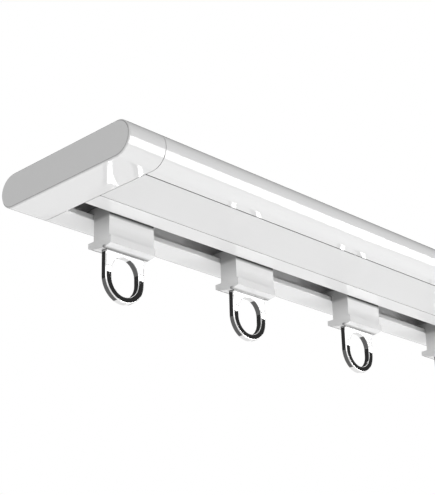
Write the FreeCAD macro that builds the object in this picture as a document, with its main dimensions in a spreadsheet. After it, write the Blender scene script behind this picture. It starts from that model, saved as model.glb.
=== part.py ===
# Curtain track: a ceiling-mounted extruded rail with a snap-on front fascia,
# a snap-in cover strip, two end caps and a row of sliding eyelet gliders.
#
# X runs along the track, -Y is the front (the fascia) and +Z is up. The origin
# is the middle of the flat top face, which lies against the ceiling.
# Each section is drawn from its own front lower corner: Y to the back, Z up.
import FreeCAD, Part
import os

import Sketcher

SIZES = {
    "overall_length": 600.0,
    "track_depth": 60.0,
    "track_height": 11.6,
    "wall": 1.8,
    # front fascia and the prongs that it snaps over
    "fascia_depth": 8.65,
    "fascia_wall": 1.5,
    "seam_gap": 0.35,
    "seat_contact": 0.9,
    "hook_depth": 1.3,
    "hook_reach": 1.6,
    "prong_clearance": 0.15,
    "prong_thickness": 1.2,
    "barb_reach": 0.65,
    "barb_length": 1.6,
    # front chamber, its cover strip and the screw holes in its roof
    "web": 1.5,
    "strip_thickness": 1.3,
    "strip_seam": 0.15,
    "leg_height": 3.6,
    "leg_thickness": 1.1,
    "snap_clearance": 0.2,
    "catch_reach": 0.6,
    "catch_rise": 1.2,
    "catch_height": 1.0,
    "screw_hole_diameter": 4.5,
    "screw_hole_inset": 60.6,
    # glider channel, the slot along its middle and the chamber in the round back
    "channel_width": 19.9,
    "slot_width": 8.5,
    "slot_edge_radius": 0.4,
    "rib": 1.5,
    "back_chamber_depth": 7.5,
    # end caps and the tongues that push into the extrusions
    "cap_length": 14.4,
    "cap_wall": 1.8,
    "cap_edge": 0.5,
    "cap_joint_edge": 0.25,
    "tongue_length": 16.0,
    "tongue_clearance": 0.2,
    "round_tongue_height": 3.8,
    "round_tongue_inset": 0.9,
    "chamber_tongue_inset": 2.5,
    "chamber_tongue_thickness": 2.2,
    # gliders
    "glider_length": 18.7,
    "head_clearance": 1.65,
    "head_thickness": 2.6,
    "head_edge": 0.8,
    "glide_clearance": 0.1,
    "stem_clearance": 0.55,
    "flange_front_reach": 0.7,
    "flange_rear_reach": 2.7,
    "flange_drop": 7.5,
    "flange_edge": 1.7,
    "flange_bulge": 1.45,
    "corner_radius": 0.4,
    "first_glider": 34.3,
    "second_glider": 91.1,
    "third_glider": 150.9,
    # eyelets
    "eyelet_margin": 1.35,
    "eyelet_set_back": 0.5,
    "eyelet_thickness": 2.25,
    "eyelet_root": 2.5,
    "eyelet_neck": 1.0,
    "eyelet_side_wall": 2.4,
    "eyelet_bottom_wall": 2.05,
    "hole_straight": 2.0,
    "eyelet_edge": 0.4,
}
GLIDER_COUNT = 10
SCREW_HOLE_COUNT = 4

CHECK_TOLERANCE = 1e-6


class Size:
    """A length that also carries the spreadsheet formula it comes from."""

    def __init__(self, value, formula):
        self.value = value
        self.formula = formula

    def __add__(self, other):
        other = as_size(other)
        return Size(self.value + other.value, f"({self.formula} + {other.formula})")

    def __sub__(self, other):
        other = as_size(other)
        return Size(self.value - other.value, f"({self.formula} - {other.formula})")

    def __mul__(self, factor):
        return Size(self.value * factor, f"({self.formula} * {factor})")

    def __truediv__(self, divisor):
        return Size(self.value / divisor, f"({self.formula} / {divisor})")

    def __neg__(self):
        return Size(-self.value, f"(-{self.formula})")


def as_size(value):
    return value if isinstance(value, Size) else Size(float(value), str(float(value)))


def make_sheet(doc):
    """Writes the driving sizes into a spreadsheet and returns them by name."""
    sheet = doc.addObject("Spreadsheet::Sheet", "Sizes")
    for row, (name, value) in enumerate(SIZES.items(), start=1):
        sheet.set(f"A{row}", name)
        sheet.set(f"B{row}", str(value))
        sheet.setAlias(f"B{row}", name)
    doc.recompute()
    return {name: Size(sheet.get(name), f"Sizes.{name}") for name in SIZES}


def add_body(doc, label, x, y, z):
    """An empty body, placed by the spreadsheet."""
    body = doc.addObject("PartDesign::Body", label)
    body.Label = label
    for axis, size in (("x", x), ("y", y), ("z", z)):
        body.setExpression(f"Placement.Base.{axis}", as_size(size).formula)
    return body


def add_sketch(body, name, role):
    plane = next(o for o in body.Origin.OriginFeatures if o.Role == role)
    sketch = body.newObject("Sketcher::SketchObject", name)
    sketch.AttachmentSupport = [(plane, "")]
    sketch.MapMode = "FlatFace"
    return sketch


def hold(sketch, kind, where, size, name):
    """One driving constraint, bound to the spreadsheet."""
    index = sketch.addConstraint(Sketcher.Constraint(kind, *where, size.value))
    sketch.renameConstraint(index, name)
    sketch.setExpression(f"Constraints.{name}", size.formula)


def hold_point(sketch, geometry, end, point, name):
    for kind, letter, size in zip(("DistanceX", "DistanceY"), "xy", point):
        hold(sketch, kind, (-1, 1, geometry, end), as_size(size), f"{name}_{letter}")


def arc_between(first, last, radius, turn):
    """The shorter arc from one point to another, turning left (+1) or right (-1)."""
    chord = last - first
    side = FreeCAD.Vector(-chord.y, chord.x, 0).normalize() * turn
    centre = (first + last) * 0.5 + side * max(radius**2 - (chord.Length / 2) ** 2, 0) ** 0.5
    if turn < 0:
        first, last = last, first
    circle = Part.Circle(centre, FreeCAD.Vector(0, 0, 1), radius)
    return Part.ArcOfCircle(circle, circle.parameter(first), circle.parameter(last))


def arc_rise(radius, across):
    """How far an arc of this radius rises above its lowest point, this far to one side."""
    value = radius.value - (radius.value**2 - across.value**2) ** 0.5
    return Size(value, f"({radius.formula} - sqrt({radius.formula} ^ 2 - {across.formula} ^ 2))")


def draw(sketch, corners, name="corner"):
    """A closed outline.

    A corner is (across, up) before a straight edge to the next corner, or
    (across, up, radius, turn) before an arc to it that turns left (+1) or
    right (-1).
    """
    points = [FreeCAD.Vector(as_size(c[0]).value, as_size(c[1]).value, 0) for c in corners]
    edges = []
    for n, corner in enumerate(corners):
        here, there = points[n], points[(n + 1) % len(points)]
        if len(corner) == 2:
            edges.append((sketch.addGeometry(Part.LineSegment(here, there)), 1, 2))
            continue
        radius, turn = corner[2:]
        index = sketch.addGeometry(arc_between(here, there, radius.value, turn))
        edges.append((index, 1, 2) if turn > 0 else (index, 2, 1))
    for n, (index, start, end) in enumerate(edges):
        following, its_start, _ = edges[(n + 1) % len(edges)]
        sketch.addConstraint(Sketcher.Constraint("Coincident", index, end, following, its_start))
    for n, (index, start, _) in enumerate(edges):
        hold_point(sketch, index, start, corners[n][:2], f"{name}{n}")
        if len(corners[n]) > 2:
            hold(sketch, "Radius", (index,), corners[n][2], f"{name}{n}_radius")


def draw_box(sketch, left, right, low, high, name="corner"):
    draw(sketch, [(left, low), (right, low), (right, high), (left, high)], name)


def draw_circle(sketch, across, up, diameter, name="hole"):
    across, up, radius = as_size(across), as_size(up), diameter / 2
    centre = FreeCAD.Vector(across.value, up.value, 0)
    circle = Part.Circle(centre, FreeCAD.Vector(0, 0, 1), radius.value)
    index = sketch.addGeometry(circle)
    hold_point(sketch, index, 3, (across, up), name)
    hold(sketch, "Radius", (index,), radius, f"{name}_radius")


def pad(body, sketch, length, side="One side", reverse=False, back=None):
    feature = body.newObject("PartDesign::Pad", sketch.Name + "Pad")
    feature.Profile = sketch
    feature.SideType = side
    feature.Reversed = reverse
    feature.setExpression("Length", length.formula)
    if back is not None:
        feature.setExpression("Length2", back.formula)
    sketch.Document.recompute()
    return feature


def pocket(body, sketch, length, side="One side", reverse=False):
    """Cuts, and makes sure that something was cut."""
    before = body.Shape.Volume
    feature = body.newObject("PartDesign::Pocket", sketch.Name + "Pocket")
    feature.Profile = sketch
    feature.SideType = side
    feature.Reversed = reverse
    feature.setExpression("Length", length.formula)
    sketch.Document.recompute()
    if feature.Shape.Volume > before - CHECK_TOLERANCE:
        raise RuntimeError(f"{feature.Label} cuts nothing")
    return feature


def edges_where(feature, test):
    """The names of a feature's edges whose two ends and middle all pass a test."""
    names = []
    for n, edge in enumerate(feature.Shape.Edges, start=1):
        first, last = edge.ParameterRange
        if all(test(edge.valueAt(first + (last - first) * share)) for share in (0, 0.5, 1)):
            names.append(f"Edge{n}")
    return names


def dress(body, kind, base, names, size):
    """A fillet (Radius) or chamfer (Size) on the named edges of a feature."""
    feature = body.newObject(f"PartDesign::{kind}", f"{base.Name}{kind}")
    feature.Base = (base, names)
    feature.setExpression("Radius" if kind == "Fillet" else "Size", size.formula)
    body.Document.recompute()
    return feature


def profile_length(d):
    """The length of the three extrusions, between the caps."""
    return d["overall_length"] - d["cap_length"] * 2


def front_chamber(d):
    """Where the chamber behind the fascia starts and ends, from the front edge."""
    front = d["fascia_depth"] + d["seam_gap"] + d["web"]
    channel = d["wall"] + d["channel_width"] + d["rib"]
    return front, d["track_depth"] - d["back_chamber_depth"] - channel


def slot_middle(d):
    """The middle of the slot and of the channel above it, from the front edge."""
    return d["track_depth"] - d["back_chamber_depth"] - d["rib"] - d["channel_width"] / 2


def prong_tip(d):
    """The front of the two barbed prongs, whose barbs end just before the fascia's hooks."""
    return d["fascia_depth"] - d["hook_depth"] - d["prong_clearance"] - d["barb_length"]


def make_track(doc, d):
    """The main extrusion: snap rail, open front chamber, glider channel and round back."""
    depth, height, wall = d["track_depth"], d["track_height"], d["wall"]
    middle, nose = height / 2, height / 2
    seat = d["fascia_depth"]
    front = seat + d["seam_gap"]
    roof = height - wall
    length = profile_length(d)

    hook_tip = d["fascia_wall"] + d["hook_reach"]
    tip = prong_tip(d)
    prong_low = hook_tip + d["prong_clearance"]
    prong_high = height - prong_low
    prong_floor = prong_low + d["prong_thickness"]
    prong_ceiling = prong_high - d["prong_thickness"]
    barb_back = tip + d["barb_length"]
    barb_low, barb_high = prong_low - d["barb_reach"], prong_high + d["barb_reach"]
    seat_low = hook_tip - d["seat_contact"]
    seat_high = height - seat_low

    catch_low = d["strip_thickness"] + d["catch_rise"]
    catch_top = catch_low + d["catch_height"]
    web_back, divider = front_chamber(d)
    channel_front = divider + wall
    channel_back = channel_front + d["channel_width"]
    chamber_front = channel_back + d["rib"]
    slot_front = slot_middle(d) - d["slot_width"] / 2
    slot_back = slot_front + d["slot_width"]
    edge = d["slot_edge_radius"]

    body = add_body(doc, "track_profile", -(length / 2), -(depth / 2), -height)
    section = add_sketch(body, "TrackSection", "YZ_Plane")
    draw(section, [
        # front wall and the catch for the cover strip
        (front, d["strip_thickness"]),
        (web_back, d["strip_thickness"]),
        (web_back, catch_low),
        (web_back + d["catch_reach"], catch_top),
        (web_back, catch_top),
        # front chamber, to the divider and its catch
        (web_back, roof),
        (divider, roof),
        (divider, catch_top),
        (divider - d["catch_reach"], catch_top),
        (divider, catch_low),
        # front lip of the slot
        (divider, 0),
        (slot_front - edge, 0, edge, 1),
        (slot_front, edge),
        (slot_front, wall),
        # glider channel
        (channel_front, wall),
        (channel_front, roof),
        (channel_back, roof),
        (channel_back, wall),
        # rear lip and round back
        (slot_back, wall),
        (slot_back, edge, edge, 1),
        (slot_back + edge, 0),
        (depth - nose, 0, nose, 1),
        (depth, middle, nose, 1),
        (depth - nose, height),
        # flat top and the seat of the fascia
        (front, height),
        (front, seat_high),
        (seat, seat_high),
        # two barbed prongs that the fascia snaps over
        (seat, prong_high),
        (barb_back, prong_high),
        (barb_back, barb_high),
        (tip, prong_high),
        (tip, prong_ceiling),
        (seat, prong_ceiling),
        (seat, prong_floor),
        (tip, prong_floor),
        (tip, prong_low),
        (barb_back, barb_low),
        (barb_back, prong_low),
        (seat, prong_low),
        (seat, seat_low),
        (front, seat_low),
    ])
    inner = nose - wall
    draw(section, [
        (chamber_front, wall),
        (depth - nose, wall, inner, 1),
        (depth - wall, middle, inner, 1),
        (depth - nose, roof),
        (chamber_front, roof),
    ], "chamber")
    pad(body, section, length)

    hole = add_sketch(body, "ScrewHole", "XY_Plane")
    draw_circle(hole, d["screw_hole_inset"], (web_back + divider) / 2, d["screw_hole_diameter"])
    drilled = pocket(body, hole, height * 2, side="Symmetric")
    pattern = body.newObject("PartDesign::LinearPattern", "ScrewHoles")
    pattern.Originals = [drilled]
    pattern.Direction = (next(o for o in body.Origin.OriginFeatures if o.Role == "X_Axis"), [""])
    pattern.setExpression("Length", (length - d["screw_hole_inset"] * 2).formula)
    pattern.Occurrences = SCREW_HOLE_COUNT
    body.Tip = pattern
    return body


def make_fascia(doc, d):
    """The rounded front cover: a hollow C whose hooks hold it on the prongs."""
    height, shell, seat = d["track_height"], d["fascia_wall"], d["fascia_depth"]
    nose = height / 2
    inner = nose - shell
    hook_front = seat - d["hook_depth"]
    low_hook = shell + d["hook_reach"]
    high_hook = height - low_hook

    length = profile_length(d)
    body = add_body(doc, "front_fascia", -(length / 2), -(d["track_depth"] / 2), -height)
    section = add_sketch(body, "FasciaSection", "YZ_Plane")
    draw(section, [
        (seat, 0),
        (seat, low_hook),
        (hook_front, low_hook),
        (hook_front, shell),
        (nose, shell, inner, -1),
        (shell, nose, inner, -1),
        (nose, height - shell),
        (hook_front, height - shell),
        (hook_front, high_hook),
        (seat, high_hook),
        (seat, height),
        (nose, height, nose, 1),
        (0, nose, nose, 1),
        (nose, 0),
    ])
    pad(body, section, length)
    return body


def make_strip(doc, d):
    """The flat strip under the screw chamber, with two barbed legs."""
    web_back, divider = front_chamber(d)
    front = web_back - d["web"]
    back = divider - d["strip_seam"]
    thick = d["strip_thickness"]
    snap, reach = d["snap_clearance"], d["catch_reach"]
    front_leg = web_back + reach + snap
    back_leg = divider - reach - snap
    barb = thick + d["catch_rise"] + d["catch_height"] + snap
    top = thick + d["leg_height"]
    leg = d["leg_thickness"]

    length = profile_length(d)
    body = add_body(doc, "cover_strip", -(length / 2), -(d["track_depth"] / 2), -d["track_height"])
    section = add_sketch(body, "StripSection", "YZ_Plane")
    draw(section, [
        (front, 0),
        (back, 0),
        (back, thick),
        (back_leg, thick),
        (back_leg, barb),
        (back_leg + reach, barb),
        (back_leg, top),
        (back_leg - leg, top),
        (back_leg - leg, thick),
        (front_leg + leg, thick),
        (front_leg + leg, top),
        (front_leg, top),
        (front_leg - reach, barb),
        (front_leg, barb),
        (front_leg, thick),
        (front, thick),
    ])
    pad(body, section, length)
    return body


def pill(depth, low, high, left, right):
    """The corners of a flat section with two full-round ends."""
    radius = (high - low) / 2
    middle = low + radius
    return [
        (left + radius, low),
        (right - radius, low, radius, 1),
        (right, middle, radius, 1),
        (right - radius, high),
        (left + radius, high, radius, 1),
        (left, middle, radius, 1),
    ]


def make_cap(doc, d, label, side):
    """An end cap: a hollow shell with three tongues that push into the extrusions.

    side is -1 for the left end and +1 for the right end.
    """
    depth, height, shell = d["track_depth"], d["track_height"], d["cap_wall"]
    middle = height / 2
    joint = profile_length(d) / 2 * side
    hollow = d["cap_length"] - shell
    gap = d["tongue_clearance"]
    zero = as_size(0)

    body = add_body(doc, label, joint, -(depth / 2), -height)
    outside = add_sketch(body, label + "_outside", "YZ_Plane")
    draw(outside, pill(depth, zero, height, zero, depth))
    block = pad(body, outside, d["cap_length"], reverse=side < 0)
    face = d["cap_length"].value * side
    rim = edges_where(block, lambda p: abs(p.x - face) < CHECK_TOLERANCE)
    eased = dress(body, "Chamfer", block, rim, d["cap_edge"])
    # a small bevel against the extrusions, so that the joint shows as a fine groove
    seam = edges_where(eased, lambda p: abs(p.x) < CHECK_TOLERANCE)
    dress(body, "Chamfer", eased, seam, d["cap_joint_edge"])

    inside = add_sketch(body, label + "_inside", "YZ_Plane")
    draw(inside, pill(depth, shell, height - shell, shell, depth - shell))
    pocket(body, inside, hollow, reverse=side > 0)

    tongues = add_sketch(body, label + "_tongues", "YZ_Plane")
    low = middle - d["round_tongue_height"] / 2
    high = middle + d["round_tongue_height"] / 2
    inset = d["round_tongue_inset"]
    draw_box(tongues, d["fascia_wall"] + inset, prong_tip(d) - gap, low, high, "fascia_tongue")
    web_back, divider = front_chamber(d)
    side_gap = d["chamber_tongue_inset"]
    top = height - d["wall"] - gap
    under = top - d["chamber_tongue_thickness"]
    draw_box(tongues, web_back + side_gap, divider - side_gap, under, top, "chamber_tongue")
    rib_back = depth - d["back_chamber_depth"]
    draw_box(tongues, rib_back + gap, depth - d["wall"] - inset, low, high, "back_tongue")
    pad(body, tongues, d["tongue_length"], side="Two sides", reverse=side > 0, back=hollow)
    return body


def make_glider(doc, d, number, x):
    """One moulded glider: head inside the channel, stem through the slot, flange below."""
    rest = d["wall"] + d["glide_clearance"]
    head = d["channel_width"] / 2 - d["head_clearance"]
    stem = d["slot_width"] / 2 - d["stem_clearance"]
    flange_front = stem + d["flange_front_reach"]
    flange_rear = stem + d["flange_rear_reach"]
    flange_top = -d["flange_drop"]
    rear_low = flange_top - d["flange_edge"]
    bulge = d["flange_bulge"]
    # the convex underside is an arc from the rear tip through its lowest point under the stem
    belly_value = flange_rear.value**2 / (2 * bulge.value) + bulge.value / 2
    belly_formula = f"({flange_rear.formula} ^ 2 / (2 * {bulge.formula}) + {bulge.formula} / 2)"
    belly = Size(belly_value, belly_formula)
    front_low = rear_low - bulge + arc_rise(belly, flange_front)

    y = slot_middle(d) - d["track_depth"] / 2
    body = add_body(doc, f"glider_{number:02d}", x, y, -d["track_height"])
    section = add_sketch(body, f"GliderSection{number:02d}", "YZ_Plane")
    draw(section, [
        (-head, rest),
        (-stem, rest),
        (-stem, flange_top),
        (-flange_front, flange_top),
        (-flange_front, front_low, belly, 1),
        (flange_rear, rear_low),
        (flange_rear, flange_top),
        (stem, flange_top),
        (stem, rest),
        (head, rest),
        (head, rest + d["head_thickness"]),
        (-head, rest + d["head_thickness"]),
    ])
    block = pad(body, section, d["glider_length"], side="Symmetric")

    head_top = (rest + d["head_thickness"]).value
    upper = edges_where(block, lambda p: abs(p.z - head_top) < CHECK_TOLERANCE)
    eased = dress(body, "Chamfer", block, upper, d["head_edge"])
    low, high = flange_top.value, rest.value
    stem_edges = edges_where(
        eased,
        lambda p: abs(abs(p.y) - stem.value) < CHECK_TOLERANCE and (
            abs(p.z - low) < CHECK_TOLERANCE or abs(p.z - high) < CHECK_TOLERANCE
        ),
    )
    dress(body, "Fillet", eased, stem_edges, d["corner_radius"])

    socket = add_sketch(body, f"EyeletSocket{number:02d}", "YZ_Plane")
    front = d["eyelet_set_back"] - d["eyelet_thickness"] / 2
    back = front + d["eyelet_thickness"]
    draw_box(socket, front, back, rear_low - bulge * 2, flange_top + d["eyelet_root"])
    pocket(body, socket, d["glider_length"] - d["eyelet_margin"] * 2, side="Symmetric")
    return body


def make_eyelet(doc, d, number, x):
    """One flat metal eyelet: round below, with a tall oval hole under the flange."""
    half = d["glider_length"] / 2 - d["eyelet_margin"]
    hole = half - d["eyelet_side_wall"]
    root = d["eyelet_root"] - d["flange_drop"]
    belly = -(d["flange_drop"] + d["flange_edge"] + d["flange_bulge"])
    hole_high = belly - d["eyelet_neck"]
    hole_low = hole_high - hole * 2 - d["hole_straight"]
    bottom = hole_low - d["eyelet_bottom_wall"]

    y = slot_middle(d) - d["track_depth"] / 2 + d["eyelet_set_back"]
    body = add_body(doc, f"eyelet_{number:02d}", x, y, -d["track_height"])
    outline = add_sketch(body, f"EyeletOutline{number:02d}", "XZ_Plane")
    draw(outline, [
        (-half, root),
        (-half, bottom + half, half, 1),
        (0, bottom, half, 1),
        (half, bottom + half),
        (half, root),
    ])
    plate = pad(body, outline, d["eyelet_thickness"], side="Symmetric")
    faces = d["eyelet_thickness"].value / 2
    exposed = edges_where(
        plate,
        lambda p: abs(abs(p.y) - faces) < CHECK_TOLERANCE and p.z < belly.value - CHECK_TOLERANCE,
    )
    dress(body, "Chamfer", plate, exposed, d["eyelet_edge"])

    opening = add_sketch(body, f"EyeletHole{number:02d}", "XZ_Plane")
    draw(opening, [
        (-hole, hole_high - hole),
        (-hole, hole_low + hole, hole, 1),
        (0, hole_low, hole, 1),
        (hole, hole_low + hole),
        (hole, hole_high - hole, hole, 1),
        (0, hole_high, hole, 1),
    ])
    pocket(body, opening, d["eyelet_thickness"] * 2, side="Symmetric")
    return body


def glider_places(d):
    """The middle of each glider along X: three as hung, then an even row to the far end."""
    left_end = -(d["overall_length"] / 2)
    first, third = d["first_glider"], d["third_glider"]
    pitch = (d["overall_length"] - first - third) / (GLIDER_COUNT - 3)
    places = [left_end + first, left_end + d["second_glider"]]
    for n in range(GLIDER_COUNT - 2):
        places.append(left_end + third + pitch * n)
    return places


def check(doc, parts):
    """Stops the build if any object failed or any sub-part has no sound solid."""
    for item in doc.Objects:
        if "Invalid" in item.State or "Error" in item.State:
            raise RuntimeError(f"{item.Label} failed: {item.State}")
    for body in parts:
        shape = body.Shape
        if shape.isNull() or not shape.isValid() or len(shape.Solids) != 1:
            raise RuntimeError(f"{body.Label} isn't one valid solid")


def main():
    doc = FreeCAD.newDocument("CurtainTrack")
    d = make_sheet(doc)
    parts = [
        make_track(doc, d),
        make_fascia(doc, d),
        make_strip(doc, d),
        make_cap(doc, d, "end_cap_left", -1),
        make_cap(doc, d, "end_cap_right", 1),
    ]
    for number, x in enumerate(glider_places(d), start=1):
        parts.append(make_glider(doc, d, number, x))
        parts.append(make_eyelet(doc, d, number, x))
    doc.recompute()
    check(doc, parts)
    os.makedirs("parts", exist_ok=True)
    for body in parts:
        body.Shape.exportStep(f"parts/{body.Label}.step")
    print(len(parts), "sub-parts written")


main()
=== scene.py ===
import math

import bmesh
import bpy
from mathutils import Matrix, Vector


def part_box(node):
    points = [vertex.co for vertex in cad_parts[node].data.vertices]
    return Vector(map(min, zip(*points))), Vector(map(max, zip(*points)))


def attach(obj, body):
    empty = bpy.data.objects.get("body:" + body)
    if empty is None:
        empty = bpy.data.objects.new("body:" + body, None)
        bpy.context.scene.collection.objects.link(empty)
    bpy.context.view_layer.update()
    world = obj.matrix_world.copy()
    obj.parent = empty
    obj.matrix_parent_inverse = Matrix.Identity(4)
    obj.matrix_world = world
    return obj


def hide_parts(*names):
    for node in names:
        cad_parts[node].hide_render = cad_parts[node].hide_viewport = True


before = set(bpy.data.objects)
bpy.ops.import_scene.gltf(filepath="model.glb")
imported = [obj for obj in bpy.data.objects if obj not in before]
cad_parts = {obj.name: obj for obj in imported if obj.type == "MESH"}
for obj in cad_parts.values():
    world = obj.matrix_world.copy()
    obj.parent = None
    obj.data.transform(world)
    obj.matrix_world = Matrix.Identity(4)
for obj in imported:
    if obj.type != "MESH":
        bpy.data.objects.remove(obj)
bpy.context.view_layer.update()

MM = 0.001
WHITE = (1, 1, 1, 1)

# camera, fitted to the straight edges of the track
CAMERA_PLACE = Vector((-0.5108, -0.2684, -0.1677))
CAMERA_RIGHT = Vector((0.7035, -0.71032, -0.02325))
CAMERA_AHEAD = Vector((0.66629, 0.64781, 0.36932))
CAMERA_LENS = 91.87
CAMERA_CLIP = 0.01

# the world's strength as light and as background, and what the floor adds where it is seen
WORLD_LIGHT = 0.55
WORLD_SEEN = 1.0
FLOOR_DROP = 1.1
FLOOR_HALF = 4.0
FLOOR_GREY = 0.9
FLOOR_ROUGHNESS = 0.9
FLOOR_GLOW = 0.3

# the dark upper half of the studio: its radius, the height at which it begins and its level
HOOD_RADIUS = 3.0
HOOD_EDGE = math.radians(5)
HOOD_SEGMENTS = 48
HOOD_RINGS = 32
HOOD_LEVEL = 0.03

# the eyelet's walls beside and under the hole, and the straight part of the hole
SIDE_WALL = 2.4 * MM
BOTTOM_WALL = 2.05 * MM
HOLE_STRAIGHT = 2.0 * MM
# its bevelled edges: the bevels' widths and tilt from the side, and the small radii at both ends of them
PLATE_BEVEL = 0.35 * MM
HOLE_BEVEL = 0.1 * MM
BEVEL_TILT = math.radians(53)
FACE_RADIUS = 0.1 * MM
SIDE_RADIUS = 0.1 * MM
ARC_STEPS = 24
EDGE_STEPS = 4

# stretches of a noise: the same all round, or drawn out along the track
EVEN = (1, 1, 1)
ALONG = (0.01, 1, 1)
# the part of a noise's range that is used
NOISE_LOW = 0.3
NOISE_HIGH = 0.7

# greys of the pieces, and how far the grey wanders
TRACK_GREY = 0.81
CAP_GREY = 0.79
GLIDER_GREY = 0.82
STRIP_GREY = 0.75
CHROME_GREY = 0.9
GLOSS_CLOUD = 0.006
STRIP_CLOUD = 0.008
CHROME_CLOUD = 0.02
# greys of painted shade that are put over them, in hollows, seams and next to other parts
CHANNEL_SHADE_GREY = 0.7
TRACK_SEAM_SHADE = 0.12
FASCIA_SEAM_SHADE = 0.06
STRIP_SEAM_SHADE = 0.1
GROOVE_SHADE_GREY = 0.05
RIM_SHADE_GREY = 0.4
SHADE_GREY = 0.25
LIP_SHADE_GREY = 0.1
SOCKET_SHADE_GREY = 0.2
FOOT_SHADE_GREY = 0.15

GLOSS_ROUGHNESS = 0.03
GLIDER_ROUGHNESS = 0.06
GLOSS_IOR = 1.5
STRIP_IOR = 1.45

# how far the painted shade reaches from the edge or the face that it belongs to
SHARP_FADE = 0.1 * MM
SEAM_WALL = 0.03 * MM
STRIP_GAP = 0.15 * MM
LIP_THICKNESS = 1.8 * MM
LIP_FADE = 0.2 * MM
LIP_PAST = 0.05 * MM
CHANNEL_FADE = 0.5 * MM
ROUND_BACK = 9.0 * MM
TOP_SKIN = 0.5 * MM
GROOVE_DEEP = 0.08 * MM
GROOVE_END = 0.26 * MM
RIM_SHADE = 0.35 * MM
RIM_FULL = 0.1 * MM
SHADE_LOW = 8 * MM
SHADE_HIGH = 1 * MM
SHADE_SHARE = 0.4
LIP_SHADE_DEPTH = 1.2 * MM
LIP_SHADE_ON_ENDS = 0.5
SOCKET_SHADE_REACH = 1.8 * MM
SOCKET_FULL = 0.1 * MM
SOCKET_PAST = 0.05 * MM
SOCKET_HEIGHT = 0.6 * MM
SOCKET_TOP = 0.9 * MM
FOOT_SHADE_REACH = 1.0 * MM


def node_tree(name):
    material = bpy.data.materials.new(name)
    material.use_nodes = True
    tree = material.node_tree
    return material, tree, tree.nodes["Principled BSDF"]


def noise(tree, scale, stretch=EVEN):
    """Noise in the object's own metres; a stretch under 1 draws it out along that axis."""
    source = tree.nodes.new("ShaderNodeTexCoord")
    mapping = tree.nodes.new("ShaderNodeMapping")
    mapping.inputs["Scale"].default_value = [scale * s for s in stretch]
    texture = tree.nodes.new("ShaderNodeTexNoise")
    texture.inputs["Scale"].default_value = 1.0
    tree.links.new(source.outputs["Object"], mapping.inputs["Vector"])
    tree.links.new(mapping.outputs["Vector"], texture.inputs["Vector"])
    return texture.outputs["Fac"]


def ramp(tree, source, start, end, first=0.0, last=1.0):
    """Goes from one value to another between two inputs and stays level outside them."""
    node = tree.nodes.new("ShaderNodeMapRange")
    node.inputs["From Min"].default_value = start
    node.inputs["From Max"].default_value = end
    node.inputs["To Min"].default_value = first
    node.inputs["To Max"].default_value = last
    tree.links.new(source, node.inputs["Value"])
    return node.outputs["Result"]


def spread(tree, source, low, high):
    """Maps the middle of a noise to a range of values."""
    return ramp(tree, source, NOISE_LOW, NOISE_HIGH, low, high)


def place(tree):
    """The three coordinates of the shaded point in the frame."""
    source = tree.nodes.new("ShaderNodeTexCoord")
    parts = tree.nodes.new("ShaderNodeSeparateXYZ")
    tree.links.new(source.outputs["Object"], parts.inputs["Vector"])
    return parts.outputs


def size_of(tree, source):
    """The source without its sign."""
    node = tree.nodes.new("ShaderNodeMath")
    node.operation = "ABSOLUTE"
    tree.links.new(source, node.inputs[0])
    return node.outputs[0]


def end_facing(tree):
    """1 on faces that look along the track, 0 on faces that look across it."""
    faces = tree.nodes.new("ShaderNodeNewGeometry")
    parts = tree.nodes.new("ShaderNodeSeparateXYZ")
    tree.links.new(faces.outputs["True Normal"], parts.inputs["Vector"])
    return size_of(tree, parts.outputs["X"])


def combine(tree, operation, *sources):
    total = sources[0]
    for source in sources[1:]:
        node = tree.nodes.new("ShaderNodeMath")
        node.operation = operation
        tree.links.new(total, node.inputs[0])
        tree.links.new(source, node.inputs[1])
        total = node.outputs[0]
    return total


def grey(level):
    return (level, level, level)


def two_colours(tree, source, first, second):
    """The first colour where the source is 0 and the second where it is 1; either may come from a node."""
    node = tree.nodes.new("ShaderNodeMix")
    node.data_type = "RGBA"
    for name, colour in (("A", first), ("B", second)):
        if isinstance(colour, bpy.types.NodeSocket):
            tree.links.new(colour, node.inputs[name])
        else:
            node.inputs[name].default_value = (*colour, 1)
    tree.links.new(source, node.inputs["Factor"])
    return node.outputs["Result"]


def cloudy_grey(tree, shader, level, change, scale, stretch=EVEN):
    """A base colour that wanders a little to both sides of its grey."""
    cloud = spread(tree, noise(tree, scale, stretch), 0, 1)
    colour = two_colours(tree, cloud, grey(level - change), grey(level + change))
    tree.links.new(colour, shader.inputs["Base Color"])
    return colour


def cloudy_roughness(tree, shader, low, high, scale, stretch=EVEN):
    tree.links.new(spread(tree, noise(tree, scale, stretch), low, high), shader.inputs["Roughness"])


def fine_bump(tree, shader, height, scale, stretch=EVEN):
    node = tree.nodes.new("ShaderNodeBump")
    node.inputs["Distance"].default_value = height
    tree.links.new(noise(tree, scale, stretch), node.inputs["Height"])
    tree.links.new(node.outputs["Normal"], shader.inputs["Normal"])


def gloss_plastic(name, level, rough, stretch=EVEN):
    material, tree, shader = node_tree(name)
    colour = cloudy_grey(tree, shader, level, GLOSS_CLOUD, scale=35)
    cloudy_roughness(tree, shader, rough * 0.8, rough * 1.2, scale=120, stretch=stretch)
    fine_bump(tree, shader, 0.004 * MM, scale=900, stretch=stretch)
    shader.inputs["IOR"].default_value = GLOSS_IOR
    return material, tree, shader, colour


def darken(tree, shader, colour, mask, level):
    """Paints a grey over the colour where the mask is 1."""
    mixed = two_colours(tree, mask, colour, grey(level))
    tree.links.new(mixed, shader.inputs["Base Color"])
    return mixed


def below_top(tree, z):
    """1 inside the track, 0 in the skin under its top face."""
    return ramp(tree, z, -TOP_SKIN, -TOP_SKIN + SHARP_FADE, 1, 0)


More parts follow.
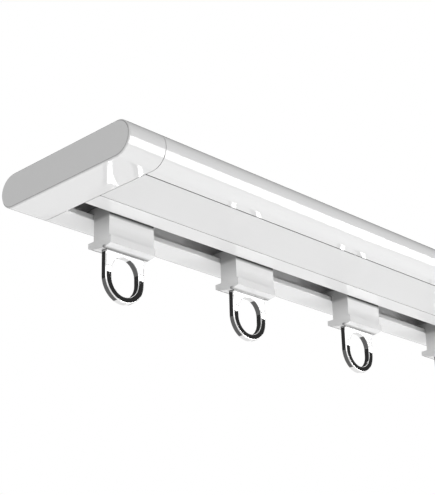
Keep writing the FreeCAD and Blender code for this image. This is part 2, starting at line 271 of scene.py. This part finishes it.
def track_finish():
    """Gloss powder coat, with painted shade that greys the inside of the channel and darkens the walls of
    the seams.
    """
    material, tree, shader, colour = gloss_plastic("track_gloss", TRACK_GREY, GLOSS_ROUGHNESS, ALONG)
    _, y, z = place(tree)
    track_low, track_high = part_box("track_profile")
    strip_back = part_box("cover_strip")[1].y
    lip_top = track_low.z + LIP_THICKNESS
    channel_back = track_high.y - ROUND_BACK
    # painted shade: the inside of the channel is greyed where little light reaches
    inside = combine(
        tree, "MULTIPLY",
        ramp(tree, z, lip_top - LIP_FADE, lip_top + LIP_PAST),
        ramp(tree, y, strip_back, strip_back + CHANNEL_FADE),
        ramp(tree, y, channel_back, channel_back + SHARP_FADE, 1, 0),
        below_top(tree, z),
    )
    colour = darken(tree, shader, colour, inside, CHANNEL_SHADE_GREY)
    # painted shade on the wall of the seam between the track and the strip
    lip_front = strip_back + STRIP_GAP
    seam = combine(
        tree, "MULTIPLY",
        ramp(tree, y, lip_front + SEAM_WALL, lip_front + SEAM_WALL * 2, 1, 0),
        below_top(tree, z),
    )
    darken(tree, shader, colour, seam, TRACK_SEAM_SHADE)
    return material


def fascia_finish():
    """The track's gloss, with painted shade darkening the wall at the seam to the track."""
    material, tree, shader, colour = gloss_plastic("fascia_gloss", TRACK_GREY, GLOSS_ROUGHNESS, ALONG)
    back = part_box("front_fascia")[1].y
    # painted shade on the wall of the seam to the track
    seam = ramp(tree, place(tree)["Y"], back - SEAM_WALL * 2, back - SEAM_WALL)
    darken(tree, shader, colour, seam, FASCIA_SEAM_SHADE)
    return material


def strip_finish():
    """Satin plastic, drawn out along the track, with painted shade darkening the walls at the seams on both
    sides.
    """
    material, tree, shader = node_tree("strip_satin")
    colour = cloudy_grey(tree, shader, STRIP_GREY, STRIP_CLOUD, scale=60, stretch=ALONG)
    cloudy_roughness(tree, shader, 0.4, 0.5, scale=400, stretch=ALONG)
    fine_bump(tree, shader, 0.006 * MM, scale=5000)
    shader.inputs["IOR"].default_value = STRIP_IOR
    low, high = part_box("cover_strip")
    y = place(tree)["Y"]
    # painted shade on the walls of both seams
    seams = combine(
        tree, "ADD",
        ramp(tree, y, low.y + SEAM_WALL, low.y + SEAM_WALL * 2, 1, 0),
        ramp(tree, y, high.y - SEAM_WALL * 2, high.y - SEAM_WALL),
    )
    darken(tree, shader, colour, seams, STRIP_SEAM_SHADE)
    return material


def cap_finish():
    """Moulded gloss white, with painted shade in the groove against the extrusions and along the rim."""
    material, tree, shader, colour = gloss_plastic("cap_gloss", CAP_GREY, GLOSS_ROUGHNESS)
    distance = size_of(tree, place(tree)["X"])
    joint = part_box("track_profile")[1].x
    # painted shade in the groove against the extrusions
    groove = ramp(tree, distance, joint + GROOVE_DEEP, joint + GROOVE_END, 1, 0)
    colour = darken(tree, shader, colour, groove, GROOVE_SHADE_GREY)
    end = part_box("end_cap_right")[1].x
    # painted shade along the cap's rim, darkening the edge next to the end face
    rim = combine(
        tree, "MULTIPLY",
        ramp(tree, distance, end - RIM_SHADE, end - RIM_FULL),
        ramp(tree, end_facing(tree), 0.8, 0.9, 1, 0),
    )
    darken(tree, shader, colour, rim, RIM_SHADE_GREY)
    return material


def glider_finish():
    """Moulded white, with painted shade on its ends towards the track, under the lips of the slot and on
    the foot before the eyelet.
    """
    material, tree, shader, colour = gloss_plastic("glider_gloss", GLIDER_GREY, GLIDER_ROUGHNESS)
    _, y, z = place(tree)
    track_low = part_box("track_profile")[0].z
    # painted shade: the end faces get darker towards the track
    shade = combine(
        tree, "MULTIPLY",
        end_facing(tree),
        ramp(tree, z, track_low - SHADE_LOW, track_low - SHADE_HIGH, 0, SHADE_SHARE),
    )
    colour = darken(tree, shader, colour, shade, SHADE_GREY)
    # painted shade on the stem just under the lips of the slot, weaker on the end faces
    lip_shade = combine(
        tree, "MULTIPLY",
        ramp(tree, z, track_low - LIP_SHADE_DEPTH, track_low),
        ramp(tree, end_facing(tree), 0.5, 0.6, 1, LIP_SHADE_ON_ENDS),
    )
    colour = darken(tree, shader, colour, lip_shade, LIP_SHADE_GREY)
    eyelet_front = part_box("eyelet_01")[0].y
    foot_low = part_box("glider_01")[0].z
    # painted shade low on the foot just in front of the eyelet, darkest next to it
    socket = combine(
        tree, "MULTIPLY",
        ramp(tree, y, eyelet_front - SOCKET_SHADE_REACH, eyelet_front - SOCKET_FULL),
        ramp(tree, y, eyelet_front, eyelet_front + SOCKET_PAST, 1, 0),
        ramp(tree, z, foot_low + SOCKET_HEIGHT, foot_low + SOCKET_TOP, 1, 0),
    )
    darken(tree, shader, colour, socket, SOCKET_SHADE_GREY)
    return material


def chrome_finish():
    """Polished metal, with painted shade darkening it where it enters the foot."""
    material, tree, shader = node_tree("eyelet_chrome")
    colour = cloudy_grey(tree, shader, CHROME_GREY, CHROME_CLOUD, scale=80)
    foot_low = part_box("glider_01")[0].z
    # painted shade on the eyelet's top, under the foot
    foot_shade = ramp(tree, place(tree)["Z"], foot_low - FOOT_SHADE_REACH, foot_low)
    darken(tree, shader, colour, foot_shade, FOOT_SHADE_GREY)
    cloudy_roughness(tree, shader, 0.02, 0.05, scale=300)
    fine_bump(tree, shader, 0.003 * MM, scale=500)
    shader.inputs["Metallic"].default_value = 1.0
    return material


def finish_nodes():
    """Gives every CAD node its material and returns the materials by the start of the nodes' names."""
    finishes = {
        "track_profile": track_finish(),
        "front_fascia": fascia_finish(),
        "cover_strip": strip_finish(),
        "end_cap": cap_finish(),
        "glider": glider_finish(),
        "eyelet": chrome_finish(),
    }
    for name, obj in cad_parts.items():
        material = next(m for start, m in finishes.items() if name.startswith(start))
        obj.data.materials.clear()
        obj.data.materials.append(material)
    return finishes


def outline(half, high, low, square_top=False):
    """Points round an upright oval as (across, up, outward across, outward up), the top round or square."""
    arcs = (
        (high, 0, 90, square_top),
        (low, 90, 270, False),
        (high, 270, 360, square_top),
    )
    points = []
    for middle, first, last, square in arcs:
        steps = ARC_STEPS * (last - first) // 90
        for n in range(steps + 1 if last < 360 else steps):
            angle = math.radians(first + (last - first) * n / steps)
            out, up = math.sin(angle), math.cos(angle)
            points.append((half * out, middle + (0 if square else half * up), out, up))
    return points


def edge_rows(thickness, bevel):
    """From the front face to the rear one as (depth, growth beyond the face's outline, tilt)."""
    depth, growth = -thickness / 2, 0.0
    rows = [(depth, growth, -math.pi / 2)]
    for first, last, radius in ((math.pi / 2, BEVEL_TILT, FACE_RADIUS), (BEVEL_TILT, 0.0, SIDE_RADIUS)):
        for n in range(EDGE_STEPS):
            before = first + (last - first) * n / EDGE_STEPS
            after = first + (last - first) * (n + 1) / EDGE_STEPS
            depth += radius * (math.sin(before) - math.sin(after))
            growth += radius * (math.cos(after) - math.cos(before))
            rows.append((depth, growth, -after))
        if last > 0:
            depth += bevel * math.cos(BEVEL_TILT)
            growth += bevel * math.sin(BEVEL_TILT)
            rows.append((depth, growth, -BEVEL_TILT))
    return rows + [(-d, g, -tilt) for d, g, tilt in reversed(rows)]


def whole_growth(rows):
    return max(growth for _, growth, _ in rows)


def ring_mesh(name, rings):
    """A closed surface through rings of (point, normal), the last joined to the first."""
    count = len(rings[0])
    faces = []
    for r in range(len(rings)):
        here, there = r * count, (r + 1) % len(rings) * count
        for n in range(count):
            m = (n + 1) % count
            faces.append((here + n, here + m, there + m, there + n))
    mesh = bpy.data.meshes.new(name)
    mesh.from_pydata([p for ring in rings for p, _ in ring], [], faces)
    shape = bmesh.new()
    shape.from_mesh(mesh)
    bmesh.ops.recalc_face_normals(shape, faces=shape.faces)
    shape.to_mesh(mesh)
    shape.free()
    mesh.shade_smooth()
    mesh.normals_split_custom_set_from_vertices([n for ring in rings for _, n in ring])
    return mesh


def make_eyelet(node, body, material):
    """The polished eyelet with its bevelled edges, in the place and the size of its plain solid."""
    low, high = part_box(node)
    middle = (low + high) / 2
    half = (high.x - low.x) / 2
    plate_rows = edge_rows(high.y - low.y, PLATE_BEVEL)
    hole_rows = edge_rows(high.y - low.y, HOLE_BEVEL)
    inset = whole_growth(plate_rows)
    hole_half = half - SIDE_WALL
    hole_low = low.z + BOTTOM_WALL + hole_half
    plate = outline(half - inset, high.z - inset, low.z + half, square_top=True)
    hole = outline(hole_half + whole_growth(hole_rows), hole_low + HOLE_STRAIGHT, hole_low)
    rings = []
    for points, side, order in ((plate, 1, plate_rows), (hole, -1, reversed(hole_rows))):
        for depth, growth, tilt in order:
            shift, turn = side * growth, side * math.cos(tilt)
            rings.append([
                (
                    (middle.x + across + out * shift, middle.y + depth, up + rise * shift),
                    (out * turn, math.sin(tilt), rise * turn),
                )
                for across, up, out, rise in points
            ])
    piece = bpy.data.objects.new("polished_" + node, ring_mesh("polished_" + node, rings))
    piece.data.materials.append(material)
    bpy.context.scene.collection.objects.link(piece)
    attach(piece, body)
    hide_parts(node)


def add_camera():
    data = bpy.data.cameras.new("camera")
    data.lens = CAMERA_LENS
    data.clip_start = CAMERA_CLIP
    camera = bpy.data.objects.new("camera", data)
    up = CAMERA_RIGHT.cross(CAMERA_AHEAD)
    turn = Matrix((CAMERA_RIGHT, up, -CAMERA_AHEAD)).transposed()
    camera.matrix_world = Matrix.Translation(CAMERA_PLACE) @ turn.to_4x4()
    bpy.context.scene.collection.objects.link(camera)
    bpy.context.scene.camera = camera


def polar(distance, azimuth, elevation):
    """The point at a distance from the middle of the track, in a direction given in degrees."""
    a, e = math.radians(azimuth), math.radians(elevation)
    return distance * Vector((math.cos(a) * math.cos(e), math.sin(a) * math.cos(e), math.sin(e)))


def area_lamp(name, where, target, size, power):
    """A soft square lamp that neither the camera nor reflections show."""
    data = bpy.data.lights.new(name, "AREA")
    data.shape = "SQUARE"
    data.size = size
    data.energy = power
    lamp = bpy.data.objects.new(name, data)
    lamp.location = where
    lamp.rotation_mode = "QUATERNION"
    lamp.rotation_quaternion = (Vector(where) - Vector(target)).to_track_quat("Z", "Y")
    lamp.visible_glossy = False
    lamp.visible_camera = False
    bpy.context.scene.collection.objects.link(lamp)


def seen_rays(tree):
    """1 for the rays of the camera and of reflections, 0 for those that only carry light."""
    path = tree.nodes.new("ShaderNodeLightPath")
    rays = ("Is Camera Ray", "Is Glossy Ray", "Is Transmission Ray")
    return combine(tree, "MAXIMUM", *[path.outputs[ray] for ray in rays])


def mix_surface(tree, source, first, second, output):
    """Puts out the first shader where the source is 0 and the second where it is 1."""
    mix = tree.nodes.new("ShaderNodeMixShader")
    tree.links.new(source, mix.inputs["Fac"])
    tree.links.new(first.outputs[0], mix.inputs[1])
    tree.links.new(second.outputs[0], mix.inputs[2])
    tree.links.new(mix.outputs[0], tree.nodes[output].inputs["Surface"])


def make_world():
    """Plain soft light; the camera and reflections see it as white."""
    world = bpy.data.worlds.new("studio")
    bpy.context.scene.world = world
    world.use_nodes = True
    tree = world.node_tree
    light = tree.nodes["Background"]
    white = tree.nodes.new("ShaderNodeBackground")
    for node, strength in ((light, WORLD_LIGHT), (white, WORLD_SEEN)):
        node.inputs["Color"].default_value = WHITE
        node.inputs["Strength"].default_value = strength
    mix_surface(tree, seen_rays(tree), light, white, "World Output")


def glow_material(name, level):
    material = bpy.data.materials.new(name)
    material.use_nodes = True
    tree = material.node_tree
    tree.nodes.clear()
    out = tree.nodes.new("ShaderNodeOutputMaterial")
    glow = tree.nodes.new("ShaderNodeEmission")
    glow.inputs["Color"].default_value = WHITE
    glow.inputs["Strength"].default_value = level
    tree.links.new(glow.outputs[0], out.inputs["Surface"])
    return material


def only_reflected(name, mesh, level):
    """Part of the studio that reflections show and nothing else does."""
    mesh.materials.append(glow_material(name + "_glow", level))
    piece = bpy.data.objects.new(name, mesh)
    piece.visible_camera = False
    piece.visible_diffuse = False
    piece.visible_shadow = False
    piece.visible_transmission = False
    bpy.context.scene.collection.objects.link(piece)


def dark_hood():
    """The dark upper half of the studio, which gives the chrome its black."""
    shape = bmesh.new()
    bmesh.ops.create_uvsphere(
        shape, u_segments=HOOD_SEGMENTS, v_segments=HOOD_RINGS, radius=HOOD_RADIUS,
    )
    low = HOOD_RADIUS * math.sin(HOOD_EDGE)
    bmesh.ops.delete(shape, geom=[v for v in shape.verts if v.co.z < low], context="VERTS")
    mesh = bpy.data.meshes.new("hood")
    shape.to_mesh(mesh)
    shape.free()
    only_reflected("hood", mesh, HOOD_LEVEL)


def light_card(name, azimuths, elevations, level, distance=2.5):
    """A card between two azimuths and two elevations, in degrees, seen from the middle of the track."""
    left, right = azimuths
    low, high = elevations
    corners = ((left, low), (right, low), (right, high), (left, high))
    mesh = bpy.data.meshes.new(name)
    mesh.from_pydata([polar(distance, a, e) for a, e in corners], [], [(0, 1, 2, 3)])
    only_reflected(name, mesh, level)


def make_floor():
    """A plain pale floor that can be looked through from below."""
    corners = ((-1, -1), (1, -1), (1, 1), (-1, 1))
    mesh = bpy.data.meshes.new("floor")
    mesh.from_pydata([(x * FLOOR_HALF, y * FLOOR_HALF, 0) for x, y in corners], [], [(0, 1, 2, 3)])
    floor = bpy.data.objects.new("floor", mesh)
    floor.location.z = -FLOOR_DROP
    material, tree, shader = node_tree("floor_pale")
    shader.inputs["Base Color"].default_value = (*grey(FLOOR_GREY), 1)
    shader.inputs["Roughness"].default_value = FLOOR_ROUGHNESS
    shader.inputs["Specular IOR Level"].default_value = 0.0
    shader.inputs["Emission Color"].default_value = WHITE
    tree.links.new(ramp(tree, seen_rays(tree), 0, 1, 0, FLOOR_GLOW), shader.inputs["Emission Strength"])
    clear = tree.nodes.new("ShaderNodeBsdfTransparent")
    side = tree.nodes.new("ShaderNodeNewGeometry")
    mix_surface(tree, side.outputs["Backfacing"], shader, clear, "Material Output")
    mesh.materials.append(material)
    bpy.context.scene.collection.objects.link(floor)


finishes = finish_nodes()
for node_name in sorted(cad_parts):
    if node_name.startswith("eyelet"):
        make_eyelet(node_name, node_name.replace("eyelet", "carrier"), finishes["eyelet"])
add_camera()
make_world()
make_floor()
dark_hood()
# the panel lights the eyelets as the glossy undersides show them, the rim card the rounded front, and
# the grey card is what the polished edges show low on the left
light_card("panel", azimuths=(-66, -38), elevations=(-34, 11), level=9.0)
light_card("rim_card", azimuths=(-165, -88), elevations=(3, 42), level=1.4)
light_card("grey_card", azimuths=(100, 190), elevations=(-70, 2), level=0.13, distance=1.0)
area_lamp("key", where=polar(1.6, -57, -30), target=(0, 0, -0.01), size=0.12, power=4.5)
area_lamp("front", where=(0.3, -1.2, 0.9), target=(0, 0, 0), size=1.0, power=5)
area_lamp("under", where=(0.1, -0.2, -1.0), target=(0.1, -0.2, 0), size=1.6, power=7.4)
area_lamp("left", where=(-3.6, -0.9, -0.45), target=(0, 0, -0.02), size=1.2, power=10)
bpy.context.scene.view_settings.view_transform = "Standard"
